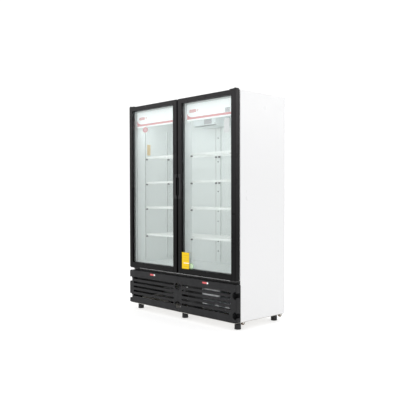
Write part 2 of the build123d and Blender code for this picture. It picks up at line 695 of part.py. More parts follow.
def lower_hinge():
    """Right-hand bracket under the door, with its pin pointing up, and its two bolts."""
    plate_z = (DOOR_BOTTOM - 8.0, DOOR_BOTTOM - 2.0)
    x = (SIDE - 70.0, SIDE - 2.0)
    leg_y = (CASE_FRONT - 6.0, CASE_FRONT - 0.1)
    plate = block(x, (FRONT + 7.0, leg_y[1]), plate_z)
    plate = fillet(plate.edges().filter_by(Axis.Z).group_by(Axis.Y)[0], 8.0)
    bracket = plate + block(x, leg_y, (COMPARTMENT_TOP - 12.0, plate_z[1]))
    pin = rod((PIN_X, PIN_Y, plate_z[0]), (PIN_X, PIN_Y, DOOR_BOTTOM + PIN_LENGTH), PIN_RADIUS)
    bolts = []
    for bolt_x in (SIDE - 60.0, SIDE - 30.0):
        z = COMPARTMENT_TOP - 4.0
        bolts.append(rod((bolt_x, leg_y[0] - 3.1, z), (bolt_x, leg_y[0] - 0.1, z), 6.0))
    return [bracket + pin] + bolts


def cross_rail():
    """Rail across the front, above the grilles, that the lower brackets are bolted to."""
    x = SIDE - 20.0 - PLAY
    return block((-x, x), (CASE_FRONT, CASE_FRONT + 2.0), (GRILLE_TOP - 8.0, COMPARTMENT_TOP - PLAY))


# Doors, drawn as the right-hand door


def bars(x, y, z, width):
    """Four bars round a rectangle, each of the given width, that meet without overlapping."""
    return [
        block((x[0], x[0] + width), y, z),
        block((x[1] - width, x[1]), y, z),
        block((x[0] + width, x[1] - width), y, (z[0], z[0] + width)),
        block((x[0] + width, x[1] - width), y, (z[1] - width, z[1])),
    ]


def lower_corner():
    """What is cut from the outer stile's lower corner to round it."""
    x = DOOR_X[1] - DOOR_CORNER
    z = DOOR_BOTTOM + DOOR_CORNER
    y = (DOOR_Y[0] - 1, DOOR_Y[1] + 1)
    corner = block((x, DOOR_X[1] + 1), y, (DOOR_BOTTOM - 1, z))
    return corner - rod((x, y[0] - 1, z), (x, y[1] + 1, z), DOOR_CORNER)


def door_frame():
    """Two full-height stiles with the rails between them, grooved for the glass unit."""
    groove = block(UNIT_X, UNIT_Y, UNIT_Z)
    hinge_stile = block((OPENING_X[1], DOOR_X[1]), DOOR_Y, (DOOR_BOTTOM, DOOR_TOP))
    outer_edges = hinge_stile.edges().filter_by(Axis.Z).group_by(Axis.X)[-1]
    hinge_stile = fillet(outer_edges.sort_by(Axis.Y)[0], 7.0)
    handle_stile = block((DOOR_X[0], OPENING_X[0]), DOOR_Y, (DOOR_BOTTOM, DOOR_TOP))
    gap_edges = handle_stile.edges().filter_by(Axis.Z).group_by(Axis.X)[0]
    handle_stile = fillet(gap_edges.sort_by(Axis.Y)[0], 4.0)
    full_height = (DOOR_BOTTOM - 1, DOOR_TOP + 1)
    face = (FRONT - 1, FRONT + DECOR_DEPTH)
    hinge_stile -= groove
    hinge_stile -= lower_corner()
    hinge_stile -= block(around(OPENING_X[1] + DECOR_INSET, DECOR_LINE), face, full_height)
    for y in (FRONT + 12.0, FRONT + 38.0):
        outer_face = (DOOR_X[1] - DECOR_DEPTH, DOOR_X[1] + 1)
        hinge_stile -= block(outer_face, around(y, DECOR_LINE), full_height)
    socket = PIN_LENGTH + 2.0
    for z in ((DOOR_TOP - socket, DOOR_TOP + 1), (DOOR_BOTTOM - 1, DOOR_BOTTOM + socket)):
        hinge_stile -= rod((PIN_X, PIN_Y, z[0]), (PIN_X, PIN_Y, z[1]), PIN_RADIUS + RUNNING_FIT)
    handle_stile -= groove
    handle_stile -= block(around(OPENING_X[0] - DECOR_INSET, DECOR_LINE), face, full_height)
    grip_x = (DOOR_X[0] - 1, DOOR_X[0] + GRIP_WIDTH)
    handle_stile -= block(grip_x, (FRONT - 1, FRONT + GRIP_DEPTH), around(GRIP_CENTRE, GRIP_LENGTH))
    pieces = [hinge_stile, handle_stile]
    for rail_z, line_z in (
        (RAIL_TOP_Z, OPENING_Z[1] + DECOR_INSET),
        (RAIL_BOTTOM_Z, OPENING_Z[0] - DECOR_INSET),
    ):
        rail = block(OPENING_X, DOOR_Y, rail_z) - groove
        line_x = (OPENING_X[0] - 1, OPENING_X[1] + 1)
        pieces.append(rail - block(line_x, face, around(line_z, DECOR_LINE)))
    return pieces


def door_glass():
    """Outer and inner panes of the sealed unit."""
    x = (UNIT_X[0] + 1, UNIT_X[1] - 1)
    z = (UNIT_Z[0] + 1, UNIT_Z[1] - 1)
    outer = block(x, (UNIT_Y[0] + 0.1, UNIT_Y[0] + PANE), z)
    inner = block(x, (UNIT_Y[1] - PANE, UNIT_Y[1] - 0.1), z)
    return outer, inner


def glass_spacer():
    """Aluminium bars that hold the panes apart."""
    x = (UNIT_X[0] + 1, UNIT_X[1] - 1)
    z = (UNIT_Z[0] + 1, UNIT_Z[1] - 1)
    return bars(x, (UNIT_Y[0] + PANE + 0.1, UNIT_Y[1] - PANE - 0.1), z, 12.0)


def door_gasket():
    """Soft magnetic seal round the back of the door."""
    y = (DOOR_Y[1] + 0.1, DOOR_Y[1] + GASKET_THICKNESS)
    return bars((18.0, PIN_X), y, (418.0, 1909.0), 25.0)


def door_grip():
    """Moulded insert in the handle stile, with an undercut finger pocket facing the gap."""
    x0 = DOOR_X[0]
    body = block(
        (x0, x0 + GRIP_WIDTH - 0.2),
        (FRONT, FRONT + GRIP_DEPTH - 0.2),
        around(GRIP_CENTRE, GRIP_LENGTH - 0.4),
    )
    pocket_z = around(GRIP_CENTRE, RECESS_LENGTH)
    pocket_back = FRONT + RECESS_DEPTH
    mouth = block((x0 - 1, x0 + RECESS_WIDTH), (FRONT - 1, pocket_back), pocket_z)
    undercut = block((x0 - 1, x0 + RECESS_UNDERCUT), (FRONT + 6.0, pocket_back), pocket_z)
    undercut = fillet(undercut.edges().filter_by(Axis.Z).group_by(Axis.X)[-1], 6.0)
    return body - mouth - undercut


# Write every node

panel = side_panel()
save("right_side_panel", panel)
save("left_side_panel", flip(panel))
save("top_panel", top_panel())
save("rear_panel", rear_panel())
save("rear_service_cover", rear_service_cover())
save("power_inlet", power_inlet())
save("insulation", insulation())
for name, sheet in liner_sheets().items():
    save(name, sheet)
save("opening_frame", *opening_frame())
save("centre_mullion", centre_mullion())

save("base_pan", base_pan())
FOOT_NAMES = ("left", "centre", "right")
for row, places in (("front", FEET_FRONT), ("rear", FEET_REAR)):
    for side, (x, y) in zip(FOOT_NAMES, places):
        save(f"{row}_{side}_foot", levelling_foot(x, y))
for row, y in zip(("front", "rear"), ROLLER_YS):
    save(f"{row}_right_roller", roller(ROLLER_X, y))
    save(f"{row}_left_roller", roller(-ROLLER_X, y))

save("compressor", compressor())
save("condenser_coil", condenser_coil())
save("fan_motors", *fan_motors())
for name in FAN_CENTRES:
    if name == "condenser_fan":
        sizes = (CONDENSER_FAN_RADIUS, CONDENSER_HUB, CONDENSER_SHAFT + RUNNING_FIT)
    else:
        sizes = (EVAPORATOR_FAN_RADIUS, EVAPORATOR_HUB, EVAPORATOR_SHAFT + RUNNING_FIT)
    save(name, fan(FAN_CENTRES[name], *sizes))
save("drain_pan", drain_pan())
save("electrical_box", electrical_box())
save("refrigerant_lines", *refrigerant_lines())

save("evaporator_housing", evaporator_housing())
save("evaporator_coil", evaporator_coil())
save("shelf_standards", *shelf_standards())
save("shelf_clips", *shelf_clips())
save("liner_screws", *liner_screws())
for number, top in enumerate(SHELF_TOPS, start=1):
    right_shelf = shelf(top)
    save(f"shelf_level_{number}", right_shelf, flip(right_shelf))
right_header = header()
save("right_header", right_header)
save("left_header", flip(right_header))
lamp = led_bar()
save("led_bars", lamp, flip(lamp))
save("temperature_controller", temperature_controller())

right_grille = grille()
save("right_grille", right_grille)
save("left_grille", flip(right_grille))

hinge_pieces = [upper_hinge()] + lower_hinge()
save("hinge_brackets", cross_rail(), *hinge_pieces, *[flip(piece) for piece in hinge_pieces])

door_pieces = {
    "door_frame": door_frame(),
    "door_glass": door_glass(),
    "glass_spacer": glass_spacer(),
    "door_gasket": door_gasket(),
    "door_grip": [door_grip()],
}
for name, pieces in door_pieces.items():
    save(f"right_{name}", *pieces)
    save(f"left_{name}", *[flip(piece) for piece in pieces])
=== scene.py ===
import json
import math

import bmesh
import bpy
from mathutils import Matrix, Vector

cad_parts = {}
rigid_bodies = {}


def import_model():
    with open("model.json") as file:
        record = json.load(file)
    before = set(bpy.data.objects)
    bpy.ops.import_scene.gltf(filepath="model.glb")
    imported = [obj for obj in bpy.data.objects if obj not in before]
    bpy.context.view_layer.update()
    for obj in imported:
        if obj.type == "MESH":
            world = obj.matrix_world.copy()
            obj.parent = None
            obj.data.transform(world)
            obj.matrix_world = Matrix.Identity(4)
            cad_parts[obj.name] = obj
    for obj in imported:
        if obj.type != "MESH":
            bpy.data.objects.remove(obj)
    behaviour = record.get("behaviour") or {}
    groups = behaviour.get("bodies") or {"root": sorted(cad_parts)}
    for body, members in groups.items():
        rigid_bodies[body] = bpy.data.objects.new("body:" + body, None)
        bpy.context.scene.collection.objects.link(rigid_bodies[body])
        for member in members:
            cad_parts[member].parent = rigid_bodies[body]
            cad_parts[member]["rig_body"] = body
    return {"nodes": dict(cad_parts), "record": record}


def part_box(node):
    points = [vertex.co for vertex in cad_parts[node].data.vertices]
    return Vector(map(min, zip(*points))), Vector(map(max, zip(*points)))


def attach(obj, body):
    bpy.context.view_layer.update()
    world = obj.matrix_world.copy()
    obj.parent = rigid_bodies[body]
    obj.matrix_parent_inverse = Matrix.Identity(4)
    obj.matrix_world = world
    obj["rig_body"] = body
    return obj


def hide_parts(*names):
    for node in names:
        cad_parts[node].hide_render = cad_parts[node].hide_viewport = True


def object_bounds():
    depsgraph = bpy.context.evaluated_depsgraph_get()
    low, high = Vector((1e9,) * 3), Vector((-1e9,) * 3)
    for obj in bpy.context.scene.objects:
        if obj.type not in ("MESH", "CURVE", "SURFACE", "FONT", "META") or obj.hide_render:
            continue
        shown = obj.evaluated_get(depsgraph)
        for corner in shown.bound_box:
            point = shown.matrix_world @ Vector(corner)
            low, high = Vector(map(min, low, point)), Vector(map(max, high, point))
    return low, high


# Looks of the glass door merchandiser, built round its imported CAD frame.
# Metres, +Z up, the doors face -Y and the viewer's right is +X.

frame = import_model()
NODES = frame["nodes"]
CAD_LOW, CAD_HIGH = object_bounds()

MM = 0.001
SIDES = ("left", "right")
FRONT = CAD_LOW.y
HAIR = 0.1 * MM  # thickness of printed film
REBATE = 9.0 * MM  # how far the door frames overlap the glass
HEADER_FADE = (1.82, 1.9)  # heights between which the headers' lamp light fades
PAINTED_SHEEN_RISE = (0.7, 1.9)  # heights between which the doors' black turns lighter towards the top, a painted sheen of reflected light
INWARD_LIMITS = (-0.4, -0.3)  # inward() passes these where a face turns from inner to outer
NODE_SLOT = {part["node"]: part["material_slot"] for part in frame["record"]["subparts"]}


# ---------------------------------------------------------------------------
# Materials
# ---------------------------------------------------------------------------


def screen(red, green, blue):
    """Linear colour of a 0-255 screen colour."""

    def linear(value):
        value /= 255
        return value / 12.92 if value <= 0.04045 else ((value + 0.055) / 1.055) ** 2.4

    return (linear(red), linear(green), linear(blue), 1.0)


def lighter(base, factor):
    """A colour with its channels scaled and kept within 1."""
    return tuple(min(1.0, channel * factor) for channel in base[:3]) + (1.0,)


class Surface:
    """A Principled material with its detail made by nodes in the object's own metres."""

    def __init__(self, name, base, roughness, **values):
        self.material = bpy.data.materials.new(name)
        self.material.use_nodes = True
        self.tree = self.material.node_tree
        self.shader = self.tree.nodes["Principled BSDF"]
        self.base = base
        self.colour = None
        self.normal = None
        self.shader.inputs["Base Color"].default_value = base
        self.shader.inputs["Roughness"].default_value = roughness
        for socket, value in values.items():
            self.shader.inputs[socket.replace("_", " ")].default_value = value
        coordinates = self.add("ShaderNodeTexCoord")
        self.place = coordinates.outputs["Object"]
        self.facing = coordinates.outputs["Normal"]

    def add(self, kind, **settings):
        node = self.tree.nodes.new(kind)
        for key, value in settings.items():
            setattr(node, key, value)
        return node

    def link(self, source, target):
        self.tree.links.new(source, target)

    def stretched(self, x, y, z):
        """Coordinates scaled by axis, for grain that runs one way."""
        mapping = self.add("ShaderNodeMapping")
        mapping.inputs["Scale"].default_value = (x, y, z)
        self.link(self.place, mapping.inputs["Vector"])
        return mapping.outputs["Vector"]

    def noise(self, scale, detail=3.0, where=None):
        node = self.add("ShaderNodeTexNoise")
        node.inputs["Scale"].default_value = scale
        node.inputs["Detail"].default_value = detail
        self.link(where or self.place, node.inputs["Vector"])
        return node.outputs["Fac"]

    def cells(self, scale, output="Distance", where=None):
        node = self.add("ShaderNodeTexVoronoi")
        node.inputs["Scale"].default_value = scale
        self.link(where or self.place, node.inputs["Vector"])
        return node.outputs[output]

    def waves(self, scale, direction, distortion=0.0):
        node = self.add("ShaderNodeTexWave", bands_direction=direction)
        node.inputs["Scale"].default_value = scale
        node.inputs["Distortion"].default_value = distortion
        self.link(self.place, node.inputs["Vector"])
        return node.outputs["Fac"]

    def rise(self):
        """Height above the floor in metres."""
        node = self.add("ShaderNodeSeparateXYZ")
        self.link(self.place, node.inputs[0])
        return node.outputs["Z"]

    def inward(self):
        """Below zero where a face looks at the cabinet's middle from the left or the right."""
        node = self.add("ShaderNodeVectorMath", operation="MULTIPLY")
        self.link(self.place, node.inputs[0])
        self.link(self.facing, node.inputs[1])
        parts = self.add("ShaderNodeSeparateXYZ")
        self.link(node.outputs["Vector"], parts.inputs[0])
        return parts.outputs["X"]

    def spread(self, source, low, high, start=0.3, end=0.7):
        """Map a pattern from start..end to low..high."""
        node = self.add("ShaderNodeMapRange")
        for socket, value in zip(("From Min", "From Max", "To Min", "To Max"), (start, end, low, high)):
            node.inputs[socket].default_value = value
        self.link(source, node.inputs["Value"])
        return node.outputs["Result"]

    def tint(self, factor, other):
        """Mix the colour so far towards another by a pattern."""
        mix = self.add("ShaderNodeMix", data_type="RGBA")
        self.link(factor, mix.inputs[0])
        if self.colour is None:
            mix.inputs[6].default_value = self.base
        else:
            self.link(self.colour, mix.inputs[6])
        mix.inputs[7].default_value = other
        self.colour = mix.outputs[2]
        self.link(self.colour, self.shader.inputs["Base Color"])

    def rough(self, pattern, low, high):
        self.link(self.spread(pattern, low, high), self.shader.inputs["Roughness"])

    def bump(self, height, distance, strength=1.0):
        """Add relief, with its height in metres."""
        node = self.add("ShaderNodeBump")
        node.inputs["Distance"].default_value = distance
        node.inputs["Strength"].default_value = strength
        self.link(height, node.inputs["Height"])
        if self.normal is not None:
            self.link(self.normal, node.inputs["Normal"])
        self.normal = node.outputs["Normal"]
        self.link(self.normal, self.shader.inputs["Normal"])


def enamel(name, base, roughness, peel=700.0, relief=0.05 * MM, specular=0.5, painted_sheen=None, back=None,
           glow=0.0):
    """Sprayed or rolled paint: orange peel, faint waviness and handling haze.

    painted_sheen is the lighter colour it has near the top, a painted sheen of reflected light; back the colour
    of its faces that look inwards, near black on the case as painted shade for its dark inside; and glow its
    emission, painted light on the shelves.
    """
    s = Surface(name, base, roughness, Specular_IOR_Level=specular)
    if back:
        # painted shade: faces that look inwards take the back colour
        s.tint(s.spread(s.inward(), 1.0, 0.0, *INWARD_LIMITS), back)
    if painted_sheen:
        # painted sheen: the colour turns lighter towards the top, standing for reflected light
        s.tint(s.spread(s.rise(), 0.0, 1.0, *PAINTED_SHEEN_RISE), painted_sheen)
    s.tint(s.spread(s.noise(2.2, 4.0), 0.0, 0.05), lighter(base, 0.8))
    s.tint(s.spread(s.noise(60.0, 5.0), 0.0, 0.04), lighter(base, 0.7))
    # glow gives a surface light of its own: on the shelves this is painted light
    if glow:
        s.shader.inputs["Emission Strength"].default_value = glow
        s.link(s.colour, s.shader.inputs["Emission Color"])
    s.rough(s.noise(9.0, 5.0), roughness * 0.85, roughness * 1.18)
    s.bump(s.noise(peel, 2.0), relief, 0.5)
    s.bump(s.noise(6.0, 1.0), 0.4 * MM, 0.12)
    return s.material


def moulded(name, base, roughness, grain=900.0, relief=0.06 * MM, specular=0.4):
    """Moulded plastic: a fine spark-eroded texture with flow marks and polished spots."""
    s = Surface(name, base, roughness, Specular_IOR_Level=specular)
    s.tint(s.spread(s.noise(7.0, 4.0, s.stretched(1.0, 1.0, 3.0)), 0.0, 0.12), lighter(base, 1.5))
    s.tint(s.spread(s.noise(grain, 2.0), 0.0, 0.14), lighter(base, 0.6))
    s.rough(s.noise(14.0, 4.0), roughness * 0.85, min(1.0, roughness * 1.2))
    s.bump(s.cells(grain), relief, 0.6)
    return s.material


def brushed(name, base, roughness, run):
    """Rolled or plated metal with fine lines, run being the grain's scale along each axis."""
    s = Surface(name, base, roughness, Metallic=1.0)
    lines = s.noise(1.0, 4.0, s.stretched(*run))
    s.tint(s.spread(lines, 0.0, 0.3), lighter(base, 0.75))
    s.tint(s.spread(s.noise(5.0, 5.0), 0.0, 0.2), lighter(base, 0.85))
    s.rough(lines, roughness * 0.8, roughness * 1.3)
    s.bump(lines, 0.03 * MM, 0.4)
    return s.material


def galvanised(name, base, roughness):
    """Hot-dip zinc: spangle in facets of slightly different grey."""
    s = Surface(name, base, roughness, Metallic=0.9)
    facet = s.cells(95.0, output="Color")
    tone = s.add("ShaderNodeSeparateColor")
    s.link(facet, tone.inputs["Color"])
    s.tint(s.spread(tone.outputs["Red"], 0.0, 0.35, 0.0, 1.0), lighter(base, 0.7))
    s.tint(s.spread(s.noise(3.0, 5.0), 0.0, 0.12), lighter(base, 0.8))
    s.link(s.spread(tone.outputs["Green"], roughness * 0.8, roughness * 1.3, 0.0, 1.0),
           s.shader.inputs["Roughness"])
    s.bump(s.noise(300.0, 3.0), 0.03 * MM, 0.4)
    return s.material


def rubber(name, base):
    """Extruded soft vinyl: fine lines and a dull bloom."""
    s = Surface(name, base, 0.7, Specular_IOR_Level=0.3)
    s.tint(s.spread(s.noise(40.0, 5.0), 0.0, 0.3), lighter(base, 1.7))
    s.rough(s.noise(20.0, 3.0), 0.6, 0.85)
    s.bump(s.noise(1500.0, 2.0), 0.03 * MM, 0.6)
    return s.material


def foamed(name, base):
    """Cut face of rigid foam."""
    s = Surface(name, base, 0.95, Specular_IOR_Level=0.2)
    s.tint(s.spread(s.noise(30.0, 6.0), 0.0, 0.5), lighter(base, 0.75))
    s.bump(s.cells(450.0), 0.4 * MM, 0.8)
    return s.material


def printed(name, base, roughness=0.35, wear=0.05):
    """Ink on film: fine screen dots and slightly uneven coverage."""
    s = Surface(name, base, roughness, Specular_IOR_Level=0.2)
    s.tint(s.spread(s.cells(1800.0), 0.0, wear, 0.0, 1.0), (1.0, 1.0, 1.0, 1.0))
    s.tint(s.spread(s.noise(25.0, 4.0), 0.0, wear), lighter(base, 0.8))
    s.rough(s.noise(40.0, 3.0), roughness * 0.85, roughness * 1.2)
    s.bump(s.noise(900.0, 2.0), 0.01 * MM, 0.5)
    return s.material


def spacer(name, base):
    """Rolled aluminium bar with rows of fine breather holes."""
    s = Surface(name, base, 0.35, Metallic=1.0)
    hole = s.cells(420.0, where=s.stretched(1.0, 1.0, 0.5))
    s.tint(s.spread(hole, 1.0, 0.0, 0.1, 0.2), (0.02, 0.02, 0.02, 1.0))
    s.bump(hole, 0.2 * MM, 0.6)
    s.rough(s.noise(30.0, 3.0), 0.28, 0.42)
    return s.material


def finned(name, base):
    """Pressed aluminium foil with a fine ripple and oxide bloom."""
    s = Surface(name, base, 0.38, Metallic=1.0)
    s.tint(s.spread(s.noise(18.0, 5.0), 0.0, 0.35), lighter(base, 0.6))
    s.bump(s.waves(120.0, "Z", 1.0), 0.3 * MM, 0.5)
    s.rough(s.noise(12.0, 3.0), 0.3, 0.5)
    return s.material


def drawn_copper(name, base):
    """Copper tube, patchily tarnished."""
    s = Surface(name, base, 0.3, Metallic=1.0)
    s.tint(s.spread(s.noise(26.0, 6.0), 0.0, 0.6), (0.2, 0.08, 0.045, 1.0))
    s.rough(s.noise(26.0, 6.0), 0.2, 0.55)
    s.bump(s.noise(600.0, 2.0), 0.03 * MM, 0.4)
    return s.material


def lamp(name, base, strength):
    """Opal lens over a row of diodes, brighter over each one."""
    s = Surface(name, base, 0.4, Emission_Strength=strength)
    dots = s.spread(s.waves(9.0, "X"), 0.0, 1.0, 0.0, 1.0)
    s.tint(dots, lighter(base, 0.9))
    s.link(s.colour, s.shader.inputs["Emission Color"])
    s.bump(s.waves(400.0, "X"), 0.05 * MM, 0.3)
    return s.material


def backlit(name, base, glow):
    """Thin opal sheet, lit from behind and dimmer above the lamp."""
    s = Surface(name, base, 0.3, Emission_Strength=glow)
    s.tint(s.spread(s.rise(), 0.0, 0.22, *HEADER_FADE), lighter(base, 0.4))
    s.tint(s.spread(s.noise(4.0, 3.0), 0.0, 0.04), lighter(base, 0.9))
    s.link(s.colour, s.shader.inputs["Emission Color"])
    s.rough(s.noise(30.0, 4.0), 0.25, 0.35)
    s.bump(s.noise(500.0, 2.0), 0.01 * MM, 0.4)
    return s.material


def clear_glass(name, tint, mirror):
    """Thin float glass: what is behind it shows through unbent, and it mirrors more at a slant."""
    material = bpy.data.materials.new(name)
    material.use_nodes = True
    tree = material.node_tree
    tree.nodes.remove(tree.nodes["Principled BSDF"])
    through = tree.nodes.new("ShaderNodeBsdfTransparent")
    through.inputs["Color"].default_value = tint
    gloss = tree.nodes.new("ShaderNodeBsdfGlossy")
    gloss.inputs["Roughness"].default_value = 0.02
    slant = tree.nodes.new("ShaderNodeLayerWeight")
    power = tree.nodes.new("ShaderNodeMath")
    power.operation = "POWER"
    power.inputs[1].default_value = 4.0
    share = tree.nodes.new("ShaderNodeMath")
    share.operation = "MULTIPLY_ADD"
    share.inputs[1].default_value = 0.9
    share.inputs[2].default_value = mirror
    mix = tree.nodes.new("ShaderNodeMixShader")
    place = tree.nodes.new("ShaderNodeTexCoord")
    film = tree.nodes.new("ShaderNodeTexNoise")
    film.inputs["Scale"].default_value = 4.0
    film.inputs["Detail"].default_value = 6.0
    smear = tree.nodes.new("ShaderNodeMapRange")
    smear.inputs["To Min"].default_value = 0.01
    smear.inputs["To Max"].default_value = 0.05
    for source, target in (
        (slant.outputs["Facing"], power.inputs[0]),
        (power.outputs[0], share.inputs[0]),
        (share.outputs[0], mix.inputs[0]),
        (through.outputs[0], mix.inputs[1]),
        (gloss.outputs[0], mix.inputs[2]),
        (place.outputs["Object"], film.inputs["Vector"]),
        (film.outputs["Fac"], smear.inputs["Value"]),
        (smear.outputs["Result"], gloss.inputs["Roughness"]),
        (mix.outputs[0], tree.nodes["Material Output"].inputs["Surface"]),
    ):
        tree.links.new(source, target)
    return material


FINISH = {
    # case_paint's back colour is painted shade: near black on the inward faces, for the dark inside of the
    # cabinet
    "case_paint": enamel("case_paint", (0.72, 0.72, 0.725, 1.0), 0.32, back=(0.05, 0.05, 0.05, 1.0)),
    "back_steel": galvanised("back_steel", (0.62, 0.64, 0.66, 1.0), 0.42),
    "liner_paint": enamel("liner_paint", (0.92, 0.94, 0.935, 1.0), 0.5, 500.0, specular=0.3),
    "foam": foamed("foam", (0.8, 0.7, 0.4, 1.0)),
    "frame_plastic": moulded("frame_plastic", (0.86, 0.88, 0.875, 1.0), 0.4, 600.0, 0.02 * MM),
    # door_black's last colour is a painted sheen: lighter towards the top, as reflected light makes it
    "door_black": enamel("door_black", (0.0015, 0.0015, 0.0017, 1.0), 0.3, 1300.0, 0.03 * MM, 0.12,
                          (0.028, 0.027, 0.028, 1.0)),
    "grille_plastic": moulded("grille_plastic", (0.014, 0.014, 0.0152, 1.0), 0.5, 800.0, specular=0.2),
    "grip_plastic": moulded("grip_plastic", (0.009, 0.009, 0.01, 1.0), 0.42, 1200.0, 0.04 * MM),
    "gasket_rubber": rubber("gasket_rubber", (0.66, 0.67, 0.67, 1.0)),
    "clear_glass": clear_glass("clear_glass", (0.975, 0.985, 0.982, 1.0), 0.02),
    "spacer_aluminium": spacer("spacer_aluminium", (0.2, 0.2, 0.205, 1.0)),
    # shelf_paint's glow is painted light: the shelves give off light though they are no lamp
    "shelf_paint": enamel("shelf_paint", (0.94, 0.94, 0.93, 1.0), 0.28, 900.0, glow=0.15),
    "clip_plastic": moulded("clip_plastic", (0.16, 0.16, 0.165, 1.0), 0.45),
    "screw_steel": brushed("screw_steel", (0.09, 0.09, 0.095, 1.0), 0.3, (900.0, 900.0, 900.0)),
    "header_plastic": backlit("header_plastic", (0.9, 0.91, 0.92, 1.0), 0.46),
    "lamp_lens": lamp("lamp_lens", (0.95, 0.98, 1.0, 1.0), 2.6),
    "display_plastic": moulded("display_plastic", (0.84, 0.84, 0.86, 1.0), 0.3, 900.0, 0.02 * MM),
    "hinge_black": enamel("hinge_black", (0.014, 0.014, 0.015, 1.0), 0.4, 900.0),
    "base_steel": enamel("base_steel", (0.6, 0.585, 0.55, 1.0), 0.42, 500.0),
    "foot_plastic": moulded("foot_plastic", (0.008, 0.008, 0.009, 1.0), 0.48, 700.0),
    "roller_steel": brushed("roller_steel", (0.17, 0.13, 0.1, 1.0), 0.35, (1200.0, 60.0, 60.0)),
    "compressor_paint": enamel("compressor_paint", (0.012, 0.012, 0.013, 1.0), 0.3, 400.0),
    "coil_aluminium": finned("coil_aluminium", (0.72, 0.74, 0.76, 1.0)),
    "copper_tube": drawn_copper("copper_tube", (0.72, 0.34, 0.2, 1.0)),
    "fan_plastic": moulded("fan_plastic", (0.03, 0.03, 0.032, 1.0), 0.4),
    "motor_steel": brushed("motor_steel", (0.5, 0.51, 0.52, 1.0), 0.35, (200.0, 1200.0, 200.0)),
    "tray_plastic": moulded("tray_plastic", (0.06, 0.06, 0.065, 1.0), 0.5),
    "box_plastic": moulded("box_plastic", (0.28, 0.29, 0.3, 1.0), 0.45),
    "evaporator_plastic": enamel("evaporator_plastic", (0.88, 0.91, 0.915, 1.0), 0.35, 500.0),
    "gland_plastic": moulded("gland_plastic", (0.015, 0.015, 0.016, 1.0), 0.45),
}
RED_INK = printed("red_ink", (0.62, 0.09, 0.1, 1.0))
PALE_RED_INK = printed("pale_red_ink", (0.58, 0.3, 0.31, 1.0))
ROSE_INK = printed("rose_ink", (0.62, 0.45, 0.46, 1.0))
WHITE_INK = printed("white_ink", (0.9, 0.9, 0.9, 1.0))
YELLOW_CARD = printed("yellow_card", (0.84, 0.55, 0.001, 1.0), 0.45, 0.01)
AMBER_INK = printed("amber_ink", (0.55, 0.36, 0.01, 1.0), 0.45)
GREEN_INK = printed("green_ink", (0.3, 0.5, 0.3, 1.0))
PALE_GREEN_INK = printed("pale_green_ink", (0.58, 0.76, 0.52, 1.0))
ORANGE_INK = printed("orange_ink", (0.82, 0.62, 0.34, 1.0))
LILAC_INK = printed("lilac_ink", (0.58, 0.57, 0.59, 1.0))
# painted shade: dark lines standing for the shadow along the liner's posts and strip edges
SEAM_SHADE = printed("painted_seam_shade", (0.22, 0.21, 0.2, 1.0), 0.6)
GREY_INK = printed("grey_ink", (0.62, 0.65, 0.65, 1.0))
GREY_WINDOW = printed("grey_window", (0.76, 0.76, 0.79, 1.0), 0.12)
BRIGHT_STEEL = galvanised("bright_steel", (0.93, 0.94, 0.95, 1.0), 0.35)
BAND_INK = backlit("band_ink", (0.72, 0.36, 0.38, 1.0), 0.34)
FADED_INK = backlit("faded_ink", (0.72, 0.46, 0.47, 1.0), 0.38)
BLACK_SEAL = rubber("black_seal", (0.012, 0.012, 0.0125, 1.0))

for node_name, cad_object in NODES.items():
    for material_slot in cad_object.material_slots:
        material_slot.material = FINISH[NODE_SLOT[node_name]]


# ---------------------------------------------------------------------------
# Mesh helpers
# ---------------------------------------------------------------------------


def arc(centre, radii, start, end, steps=8):
    """Points on an ellipse between two angles in degrees."""
    points = []
    for index in range(steps + 1):
        angle = math.radians(start + (end - start) * index / steps)
        points.append((centre[0] + radii[0] * math.cos(angle), centre[1] + radii[1] * math.sin(angle)))
    return points


def rounded(low, high, radius, steps=6):
    """Outline of a rectangle with round corners."""
    corners = (
        (high[0] - radius, high[1] - radius, 0),
        (low[0] + radius, high[1] - radius, 90),
        (low[0] + radius, low[1] + radius, 180),
        (high[0] - radius, low[1] + radius, 270),
    )
    outline = []
    for u, v, angle in corners:
        outline += arc((u, v), (radius, radius), angle, angle + 90, steps)
    return outline


def oval(centre, width, height):
    return arc(centre, (width / 2, height / 2), 0, 360, 40)[:-1]


def placed(axis, u, v, along):
    """A point from its two outline coordinates and its place along the extrusion axis."""
    if axis == "X":
        return Vector((along, u, v))
    if axis == "Y":
        return Vector((u, along, v))
    return Vector((u, v, along))


def prism(bm, outline, axis, low, high):
    """Add a closed prism: an outline in the other two axes, from low to high along one axis."""
    rings = [[bm.verts.new(placed(axis, u, v, along)) for u, v in outline] for along in (low, high)]
    bm.faces.new(rings[0])
    bm.faces.new(list(reversed(rings[1])))
    count = len(outline)
    for index in range(count):
        after = (index + 1) % count
        bm.faces.new((rings[0][index], rings[1][index], rings[1][after], rings[0][after]))


def ring_prism(bm, outer, inner, axis, low, high):
    """Add a closed ring: the space between two outlines of equal count, along one axis."""
    loops = [
        [bm.verts.new(placed(axis, u, v, along)) for u, v in outline]
        for outline, along in ((outer, low), (outer, high), (inner, high), (inner, low))
    ]
    count = len(outer)
    for level in range(4):
        first, second = loops[level], loops[(level + 1) % 4]
        for index in range(count):
            after = (index + 1) % count
            bm.faces.new((first[index], first[after], second[after], second[index]))


def facing(point, direction):
    """Matrix that puts local +Z along a direction at a point."""
    turn = Vector((0, 0, 1)).rotation_difference(Vector(direction)).to_matrix().to_4x4()
    return Matrix.Translation(Vector(point)) @ turn


